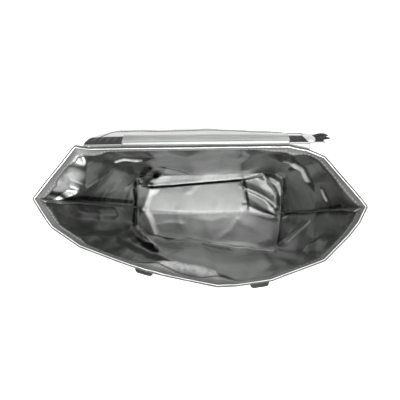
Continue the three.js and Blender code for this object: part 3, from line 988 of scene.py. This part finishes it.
def rim_outwards():
    """Level normals round the rim."""
    rim = RIM
    for _ in range(3):
        rim = (np.roll(rim, 1, 0) + rim * 2 + np.roll(rim, -1, 0)) / 4
    along = np.roll(rim, -1, 0) - np.roll(rim, 1, 0)
    out = np.stack([along[:, 1], -along[:, 0]], 1)
    return out / np.linalg.norm(out, axis=1, keepdims=True)


RIM_OUT = rim_outwards()
RIM_RUN = lengths_along(RIM)
RIM_DIP = sum(bell(np.linalg.norm(RIM - nick, axis=1), 0, 0.0028) for nick in NICKS)
RIM_WAVE = 0.35 * np.sin(RIM_RUN / 0.0113) * np.sin(RIM_RUN / 0.031 + 1)

# Heights in the hem, in millimetres: its lower edge, its row of stitches and the middle of its bend.
HEM_FOOT = 228.6
HEM_STITCH = 231.4
HEM_TOP = 239.2
HEM_LEG = [HEM_FOOT, 229.6, 230.6, HEM_STITCH, 232.3, 233.6, 235.2, 237.0, 238.4]
STITCH_PITCH = 0.0042


def hem_point(offset, height, pucker):
    """A row of points round the rim, at an offset outwards and a height, in millimetres."""
    level = min(height * MM, WALL_HIGH)
    points = at_height(WALL_MIDDLE, level)
    ripple = np.sin(RIM_RUN / STITCH_PITCH * 2 * math.pi + 0.8 * np.sin(RIM_RUN / 0.02)) * pucker
    away = offset + np.sign(offset) * ripple
    if offset < 0:
        away = away - at_height(WALL_LIFT, level) / MM
    points[:, :2] += RIM_OUT * away[:, None] * MM
    top = smoothstep(height, 234, 240)
    points[:, 2] = (height + top * (RIM_WAVE - 1.6 * RIM_DIP) + ripple * 0.5) * MM
    return points


def hem_leg(half, height):
    """A row of points on one leg of the hem: it flares at its foot, dips at the stitches and swells above."""
    flare = 0.30 * bell(height, HEM_FOOT, 1.0) - 0.28 * bell(height, HEM_STITCH, 0.9)
    flare += 0.30 * bell(height, 235.5, 2.4)
    offset = half + flare * math.copysign(1, half)
    return hem_point(offset, height, 0.07 + 0.16 * bell(height, HEM_STITCH, 2.6))


def hem_grid(half, name):
    """The hem's section, up the outside, over the top and down the inside, all along one half of the rim."""
    rows = [hem_leg(half, height) for height in HEM_LEG]
    for turn in np.linspace(0, math.pi, 9):
        rows.append(hem_point(half * math.cos(turn), HEM_TOP + half * math.sin(turn), 0.06))
    rows += [hem_leg(-half, height) for height in HEM_LEG[::-1]]
    return np.array(rows)[:, PANELS[name]]


def rim_hem(name):
    """The folded hem over the top edge of one half, and its stitching on both faces."""
    outer, inner = hem_grid(1.5, name), hem_grid(1.0, name)
    run = np.arange(outer.shape[1]) * CELL
    uv = np.stack(np.meshgrid(run, np.arange(len(outer)) * 1.3 * MM), 2)
    hem = thin_solid(f"{name}_rim_hem_cloth", outer, inner, uv)
    finished(hem, "bag", HEM, "hem", (f"{name}_rim_hem",))
    for face, offset in (("inside", -1.37), ("outside", 1.37)):
        path = hem_point(offset, HEM_STITCH, 0.2)[PANELS[name]]
        normals = np.column_stack([RIM_OUT * math.copysign(1, offset), np.zeros(FINE_COLUMNS)])[PANELS[name]]
        sew(f"{name}_rim_{face}", "bag", "hem", path, normals)


rim_hem("front")
rim_hem("back")


# ---------------------------------------------------------------- seam allowances

# The section of a side seam's allowance: how far into the sack, and how far to one side, in millimetres.
FIN_SECTION = [(-1.4, -0.55), (2, -0.5), (5, -0.5), (7.4, -0.7), (8.4, -0.95), (9.2, -0.6), (9.5, 0),
               (9.2, 0.6), (8.4, 0.95), (7.4, 0.7), (5, 0.5), (2, 0.5), (-1.4, 0.55)]
FIN_HEIGHTS = np.arange(12, 236, 2.2)
FIN_TURN = -0.35  # how far it leans over to the front, as a slope
FIN_STITCH = 5.4


def seam_fin(name, column, side):
    """The bound allowance of a side seam, standing into the sack and swaying a little."""
    inwards = np.array([-side, FIN_TURN]) / math.hypot(1, FIN_TURN)
    across = np.array([-inwards[1], inwards[0]])
    rings, path = [], []
    for z in FIN_HEIGHTS:
        root = LINING_WALL[row_at(z * MM)[0], column, :2]
        sway = 0.9 * math.sin(z / 19 + side) + 0.5 * math.sin(z / 7.1)
        reach = 1 + 0.06 * math.sin(z / 23 + 2) + 0.03 * math.sin(z / 5)

        def at(deep, wide):
            bend = sway * (max(deep, 0) / 9) ** 1.5
            return (*(root + (inwards * deep * reach + across * (wide + bend)) * MM), z * MM)

        rings.append([at(deep, wide) for deep, wide in FIN_SECTION])
        path.append(at(FIN_STITCH, 0.5))
    finished(swept(f"{name}_side_seam_binding", rings), "bag", SEAM, "seam", (f"{name}_side_seam_tape",))
    sew(f"{name}_side_seam", "bag", "seam", path, [*across, 0])


seam_fin("left", 2 * LEFT_SEAM, -1)
seam_fin("right", 2 * RIGHT_SEAM, 1)

# The section of a base seam's allowance: how far to one side, and how far up, in millimetres.
FOOT_SECTION = [(-0.7, 0.0), (0.7, 0.0), (0.75, 3.0), (0.8, 6.0), (0.95, 7.2), (0.5, 8.0), (-0.5, 8.0),
                (-0.95, 7.2), (-0.8, 6.0), (-0.75, 3.0)]


def foot_binding(name, side):
    """The bound allowance of a base seam, standing along the foot of a narrow side."""
    low, high = (np.array(corner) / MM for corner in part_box(f"{name}_base_seam_tape"))
    start, end = (np.array([low[0] + 0.8, low[1]]), np.array([high[0] - 0.8, high[1]]))
    along = (end - start) / np.linalg.norm(end - start)
    inwards = np.array([along[1], -along[0]]) * -side
    rings, path = [], []
    for step in np.linspace(0, 1, 60):
        root = start + (end - start) * step
        sway = 0.8 * math.sin(step * 9 + side) + 0.4 * math.sin(step * 31)
        tall = 1 + 0.07 * math.sin(step * 13)
        rings.append([(*((root + inwards * (wide + sway * up / 8)) * MM), (low[2] + up * tall) * MM)
                      for wide, up in FOOT_SECTION])
        path.append((*((root + inwards * (0.78 + sway * 0.6)) * MM), (low[2] + 5 * tall) * MM))
    finished(swept(f"{name}_base_seam_binding", rings), "bag", SEAM, "seam", (f"{name}_base_seam_tape",))
    sew(f"{name}_base_seam", "bag", "seam", path, [*inwards, 0])


foot_binding("left", -1)
foot_binding("right", 1)


# ---------------------------------------------------------------- loop tapes on the front

# The outside of the two big panels, from corner to corner.
FRONT_OUTSIDE = panel(SHELL_OUTER, "front")[:, 2 * FL:2 * FR]
BACK_OUTSIDE = panel(SHELL_OUTER, "back")[:, 2 * (BR - RIGHT_SEAM):2 * (BL - RIGHT_SEAM)][:, ::-1]


def outside_y(grid, x, z):
    """Where the outside of a big panel is in Y, at given X and one height."""
    line = at_height(grid, min(z, SHELL_TOP))
    return np.interp(x, line[:, 0], line[:, 1])


def front_normal(x, z):
    """The level normal of the front's outside."""
    slope = (outside_y(FRONT_OUTSIDE, x + 0.006, z) - outside_y(FRONT_OUTSIDE, x - 0.006, z)) / 0.012
    return np.array([slope, -1, 0]) / math.hypot(slope, 1)


def loop_tape(name):
    """A loop tape sewn to the front. Its end stands up in a tuft at the rim."""
    low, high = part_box(f"{name}_loop_tape")
    xs = np.linspace(low[0], high[0], 31)
    zs = np.linspace(low[2], high[2], 150)
    pile = np.random.default_rng(5).normal(0, 1, (len(zs), len(xs)))
    outer, inner = np.zeros((len(zs), len(xs), 3)), np.zeros((len(zs), len(xs), 3))
    for j, z in enumerate(zs):
        puff = smoothstep(z, high[2] - 0.026, high[2] - 0.006)
        tip = min(1, (len(zs) - 1 - j) / 3) ** 0.5
        back = 0.25 + 0.45 * smoothstep(z, 0.224, 0.230)
        for i, x in enumerate(xs):
            at, normal = np.array([x, outside_y(FRONT_OUTSIDE, x, z), z]), front_normal(x, z)
            edge = min(1, (1 - abs(2 * i / (len(xs) - 1) - 1)) * 4) ** 0.5
            thick = 0.7 + (1.3 + 3.3 * puff + 0.22 * pile[j, i]) * edge * tip
            inner[j, i] = at + normal * back * MM
            outer[j, i] = at + normal * (back + thick) * MM
    tape = thin_solid(f"{name}_loop_tape_pile", outer, inner, np.stack(np.meshgrid(xs, zs), 2))
    finished(tape, "bag", LOOP, "loop", (f"{name}_loop_tape",))
    for edge, i in (("left", 2), ("right", len(xs) - 3)):
        path = (outer[:, i] + 0.02 * MM)[::3]
        sew(f"{name}_loop_tape_{edge}", "bag", "loop", path, [0, -1, 0], radius=0.22)


loop_tape("left")
loop_tape("right")


# ---------------------------------------------------------------- the flap

HINGE = np.array(JOINTS["flap_fold"]["pos_m"]) / MM

# The flap's section hangs from its hinge on this curve, as Y and Z from the hinge in millimetres.
FLAP_SHAPE = np.array([[-0.8, -0.2], [5.4, -2.6], [16, -25], [30.5, -62.5]])
FLAP_LENGTH = 70.35
FLAP_X = (-126.0, 126.0)
FLAP_FLAT = (0.252, 0.0695)

TONGUE_X = (-84.0, 91.0)
TONGUE_SHARES = [0.12, 0.15, 0.19, 0.23, 0.28, 0.33]
TONGUE_HEIGHTS = [3.8, 4.4, 4.7, 4.6, 4.3, 3.8]  # above the flap, at those shares of its length


def bezier_run():
    """The flap's curve as a run of points, and the share of its length at each."""
    t = np.linspace(0, 1, 801)[:, None]
    a, b, c, d = FLAP_SHAPE
    curve = (1 - t) ** 3 * a + 3 * (1 - t) ** 2 * t * b + 3 * (1 - t) * t * t * c + t ** 3 * d
    run = lengths_along(curve)
    return curve, run / run[-1]


FLAP_CURVE, FLAP_RUN = bezier_run()


def flap_at(x, share, off):
    """Points of the flap, from X, share along it and height off it on its lining's side, in millimetres."""
    x, share, off = np.broadcast_arrays(np.asarray(x, float), share, off)
    past = np.maximum(share - 1, 0) * FLAP_LENGTH
    inside = np.clip(share, 0, 1)
    y, z = (np.interp(inside, FLAP_RUN, FLAP_CURVE[:, k]) for k in (0, 1))
    way = np.gradient(FLAP_CURVE, axis=0)
    way /= np.linalg.norm(way, axis=1, keepdims=True)
    ty, tz = (np.interp(inside, FLAP_RUN, way[:, k]) for k in (0, 1))
    ripple = 0.4 * np.sin(x / 14 + 2 * share) * share + 0.25 * np.sin(x / 6.3 + 1) * share ** 2
    lift = off + ripple
    sag = (7.0 * smoothstep(x, 5, 126) + 2.5 * smoothstep(-x, 104, 126)) * share
    return np.stack([x, HINGE[1] + y + ty * past - tz * lift - sag,
                     HINGE[2] + z + tz * past + ty * lift], -1) * MM


def flap_sheet(name, lefts, rights, shares, inner, outer, columns):
    """A curved sheet that follows the flap. Its ends and heights may change along it."""
    shares = np.asarray(shares)
    u = np.linspace(0, 1, columns)[None, :]
    lefts, rights = (np.broadcast_to(np.asarray(v, float), shares.shape)[:, None] for v in (lefts, rights))
    x = lefts + (rights - lefts) * u
    share = np.broadcast_to(shares[:, None], x.shape)
    inner, outer = (np.broadcast_to(np.asarray(v, float), x.shape) for v in (inner, outer))
    uv = np.stack([x, share * FLAP_LENGTH], 2) * MM
    return thin_solid(name, flap_at(x, share, outer), flap_at(x, share, inner), uv)


def rounded_end(shares, radius=11):
    """How far the flap's far corners are cut back."""
    into = np.clip((np.asarray(shares) - 1) * FLAP_LENGTH + radius, 0, radius)
    return radius - np.sqrt(np.maximum(radius ** 2 - into ** 2, 0))


FLAP_SHARES = np.linspace(0.0, 1, 44)
CUT_BACK = rounded_end(FLAP_SHARES)
LEFT_EDGE, RIGHT_EDGE = FLAP_X[0] + CUT_BACK, FLAP_X[1] - CUT_BACK

flap_shell = flap_sheet("flap_shell_cloth", LEFT_EDGE, RIGHT_EDGE, FLAP_SHARES, -0.85, -0.15, 150)
finished(flap_shell, "flap", SHELL, "shell", ("flap_shell",))
flap_lining = flap_sheet("flap_lining_cloth", LEFT_EDGE, RIGHT_EDGE, FLAP_SHARES, 0.15, 0.65, 150)
finished(flap_lining, "flap", FLAP_FOIL, "lining", ("flap_lining",))


FLAP_HEM_BACKS = (10.0, 9.0, 7.5, 5.0, 2.5, 0.8)  # how far its rows lie back from the edge
FLAP_STITCH = 7.6


def flap_hem(name, run, at):
    """A hem folded over an edge of the flap. Run is the distance along the edge, and at gives the hem's
    points for a distance back from the edge and a height off the flap."""
    pucker = 0.14 * np.sin(run / 4.3 * 2 * math.pi)
    skins = []
    for half, reach in ((1.55, 0.75), (1.05, 0.25)):
        rows = []
        for back in FLAP_HEM_BACKS:
            near_stitch = bell(back, FLAP_STITCH, 1.2)
            rows.append((back, half * (1 - 0.16 * near_stitch) + pucker * (0.3 + near_stitch)))
        bend = [(-reach * math.sin(turn), half * math.cos(turn)) for turn in np.linspace(0, math.pi, 7)[1:-1]]
        rows += bend + [(back, -off) for back, off in rows[::-1]]
        skins.append(np.array([at(back, off - 0.1) for back, off in rows]))
    uv = np.stack(np.meshgrid(run * MM, np.arange(len(rows)) * 1.4 * MM), 2)
    hem = thin_solid(f"flap_{name}_hem_cloth", skins[0], skins[1], uv)
    finished(hem, "flap", FLAP_HEM, "hem", (f"flap_{name}_hem",))


def flap_tip_hem():
    """The hem along the far edge, and its stitching."""
    x = np.linspace(FLAP_X[0] + 6, FLAP_X[1] - 6, 220)
    flap_hem("tip", x, lambda back, off: flap_at(x, 1 - back / FLAP_LENGTH, off))
    path = flap_at(x, 1 - FLAP_STITCH / FLAP_LENGTH, 1.3)
    sew("flap_tip", "flap", "hem", path, [0, 0.85, 0.5], pitch=4.3)


def flap_side_hem(name, edge, side):
    """The hem along one end of the flap, beyond the hook tape."""
    shares = np.linspace(0.34, 1 - 11.5 / FLAP_LENGTH, 60)
    flap_hem(name, shares * FLAP_LENGTH, lambda back, off: flap_at(edge - side * back, shares, off))


flap_tip_hem()
flap_side_hem("left", FLAP_X[0], -1)
flap_side_hem("right", FLAP_X[1], 1)

HOOK_SHARES = np.linspace(0.022, 0.305, 32)
HOOK_COLUMNS = 330
HOOK_PITCH = 1.7


def hook_tape():
    """The hook tape: rows of small hooks between plain edges, and a frayed right end that curls up."""
    u = np.linspace(0, 1, HOOK_COLUMNS)[None, :]
    fray = 1.8 * np.sin(HOOK_SHARES * 60) + 1.2 * np.sin(HOOK_SHARES * 171 + 1)
    hooks_across = u * FLAP_FLAT[0] / MM / HOOK_PITCH
    hooks_along = HOOK_SHARES[:, None] * FLAP_FLAT[1] / MM / HOOK_PITCH
    hooks = np.clip(np.sin(hooks_across * 2 * math.pi) * np.sin(hooks_along * 2 * math.pi), 0, 1)
    from_edge = np.minimum(HOOK_SHARES - HOOK_SHARES[0], HOOK_SHARES[-1] - HOOK_SHARES) * FLAP_FLAT[1] / MM
    selvedge = np.minimum(1, from_edge / 2.2)[:, None]
    low = 0.85 - 0.1 * (1 - selvedge) + 2.6 * smoothstep(u, 0.955, 1.0)
    high = low + 0.9 + 0.55 * hooks * (selvedge >= 1)
    left, right = FLAP_X[0] + 1, FLAP_X[1] + 2.5 + fray
    tape = flap_sheet("hook_tape_nylon", left, right, HOOK_SHARES, low, high, HOOK_COLUMNS)
    finished(tape, "flap", HOOK, "hook", ("hook_tape",))


def hook_tuck():
    """A scrap of lining folded over the hook tape near its right end."""
    u = np.linspace(-1, 1, 16)[None, :]
    across = np.linspace(-1, 1, 22)
    half = 5.2 * np.sqrt(np.clip(1 - (across * 0.92) ** 4, 0, 1))
    dome = 2.4 + 1.9 * (1 - u ** 2) * (1 - across[:, None] ** 2) ** 0.5
    shares = np.linspace(0.0, 0.31, 22)
    tuck = flap_sheet("hook_tape_tuck", 112 - half, 112 + half, shares, dome - 0.3, dome, 16)
    finished(tuck, "flap", FLAP_HEM, "hem", ())


hook_tape()
hook_tuck()


# ---------------------------------------------------------------- the neck of the flap

# The neck's rows on the back wall: heights, and how far off the wall they lie, in millimetres.
NECK_ROWS = [(218, 0.5), (221, 0.6), (224, 0.7), (227, 1.2), (230, 1.5), (233, 1.6), (236, 1.6), (239, 1.7)]
NECK_STITCH = 0.221


def flap_neck():
    """The root of the flap's cloth, from its row of stitches on the back wall to the fold."""
    x = np.linspace(-0.120, 0.112, 150)
    rows = []
    for z, off in NECK_ROWS:
        y = outside_y(BACK_OUTSIDE, x, z * MM) + off * MM
        rows.append(np.stack([x, y, np.full(len(x), z * MM)], 1))
    rows.append(rows[-1] + np.array([0, 0.2, 1.2]) * MM)
    rows += [flap_at(x / MM, share, -1.0) for share in (0.03, 0.045, 0.06)]
    rows = np.array(rows)
    run = np.gradient(rows, axis=0)
    normals = np.stack([np.zeros_like(run[..., 0]), run[..., 2], -run[..., 1]], -1)
    normals /= np.linalg.norm(normals, axis=2, keepdims=True)
    uv = np.stack(np.meshgrid(x, np.arange(len(rows)) * 3 * MM), 2)
    neck = thin_solid("flap_neck_cloth", rows, rows - normals * 0.6 * MM, uv)
    finished(neck, None, NECK, "shell", ("flap_neck",))
    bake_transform(neck)
    y = outside_y(BACK_OUTSIDE, x, NECK_STITCH) + 0.6 * MM
    sew("flap_neck", "bag", "shell", np.stack([x, y, np.full(len(x), NECK_STITCH)], 1), [0, 1, 0])


flap_neck()


# ---------------------------------------------------------------- the tuck tongue

TONGUE_U = np.linspace(0, 1, 120)[None, :]


def tongue_wave(share):
    """The slight wave along the tongue and its root, in millimetres."""
    return 0.10 * np.sin(TONGUE_U * 23 + share * 9) + 0.08 * np.sin(TONGUE_U * 57)


def tuck_tongue():
    """The tongue's facing, which puffs up near its fold on the left, and its flatter backing."""
    shares = np.linspace(TONGUE_SHARES[0], TONGUE_SHARES[-1], 24)
    share = shares[:, None]
    height = np.interp(shares, TONGUE_SHARES, TONGUE_HEIGHTS)[:, None] - 0.6 + tongue_wave(share)
    puffed = height + 0.9 * bell(share, 0.18, 0.04) * (1 - 0.8 * TONGUE_U)
    for name, middle, inner, outer, material, slot in (("facing", puffed, 0.15, 0.65, FLAP_FOIL, "lining"),
                                                       ("backing", height, -0.65, -0.15, SHELL, "shell")):
        piece = flap_sheet(f"tongue_{name}_cloth", *TONGUE_X, shares, middle + inner, middle + outer, 120)
        finished(piece, "tongue", material, slot, (f"tongue_{name}",))


def tongue_root():
    """The root of the tongue: it is sewn to the flap at the hinge, and rises to the tongue's fold."""
    shares = np.concatenate([[0.0, 0.006, 0.012, 0.018], np.linspace(0.026, TONGUE_SHARES[0] - 0.006, 14)])
    share = shares[:, None]
    rise = smoothstep(share, 0.06, 0.115)
    off = 0.95 + 1.45 * smoothstep(share, 0.0, 0.024) + 0.85 * rise + tongue_wave(share) * rise
    root = flap_sheet("tongue_root_cloth", *TONGUE_X, shares, off - 0.05, off + 0.30, 120)
    finished(root, "flap", FLAP_FOIL, "lining", ())


def tongue_stitching():
    """The row of stitches along the tongue's free edge."""
    x = np.linspace(TONGUE_X[0] + 2, TONGUE_X[1] - 2, 160)
    sew("tongue", "tongue", "lining", flap_at(x, 0.29, 3.98), [0, 0.8, 0.6])


tuck_tongue()
tongue_root()
tongue_stitching()


# ---------------------------------------------------------------- stage, light and camera

def floor_material():
    """Plain pale paper, lit so that it runs out into white."""
    m = Shader("floor")
    m.color(m.noise(0.5, 2), [(0.0, 0.54), (1.0, 0.56)])
    return m.done(Roughness=0.9, Emission_Color=(1, 1, 1, 1), Emission_Strength=0.60)


FLOOR_HALF = 3
corners = [(x * FLOOR_HALF, y * FLOOR_HALF, 0) for x, y in ((-1, -1), (1, -1), (1, 1), (-1, 1))]
floor = new_mesh("floor", corners, [[0, 1, 2, 3]], flat_from=0)
floor.data.materials.append(floor_material())


def studio_dome():
    """Soft light that is brightest overhead and dimmer towards the horizon."""
    world = bpy.data.worlds.new("studio")
    bpy.context.scene.world = world
    world.use_nodes = True
    tree = world.node_tree
    place = tree.nodes.new("ShaderNodeTexCoord")
    split = tree.nodes.new("ShaderNodeSeparateXYZ")
    height = tree.nodes.new("ShaderNodeMapRange")
    height.inputs["From Min"].default_value = -1
    shade = tree.nodes.new("ShaderNodeValToRGB")
    set_stops(shade.color_ramp, [(0.0, 0.80), (0.5, 0.80), (0.70, 0.64), (0.92, 1.2), (0.965, 2.6)])
    tree.links.new(place.outputs["Generated"], split.inputs["Vector"])
    tree.links.new(split.outputs["Z"], height.inputs["Value"])
    tree.links.new(height.outputs["Result"], shade.inputs["Fac"])
    tree.links.new(shade.outputs["Color"], tree.nodes["Background"].inputs["Color"])


def area_light(name, location, target, size, power):
    """A rectangular soft light that faces a target."""
    light = bpy.data.lights.new(name, "AREA")
    light.shape = "RECTANGLE"
    light.size, light.size_y = size
    light.energy = power
    lamp = bpy.data.objects.new(name, light)
    bpy.context.scene.collection.objects.link(lamp)
    lamp.location = location
    lamp.rotation_euler = (Vector(target) - Vector(location)).to_track_quat("-Z", "Y").to_euler()


def camera_overhead():
    """A near view, looking almost straight down into the mouth."""
    camera = bpy.data.objects.new("camera", bpy.data.cameras.new("camera"))
    bpy.context.scene.collection.objects.link(camera)
    camera.location = (0.0175, 0.0157, 0.530)
    camera.rotation_euler = (math.radians(0.33), math.radians(3.65), 0)
    camera.data.sensor_width = 36
    camera.data.lens = 24.84
    camera.data.clip_start = 0.01
    bpy.context.scene.camera = camera


studio_dome()
area_light("key", (0.45, -0.80, 1.35), (0, 0, 0.15), (1.3, 0.9), 22)
camera_overhead()
bpy.context.scene.view_settings.view_transform = "Standard"
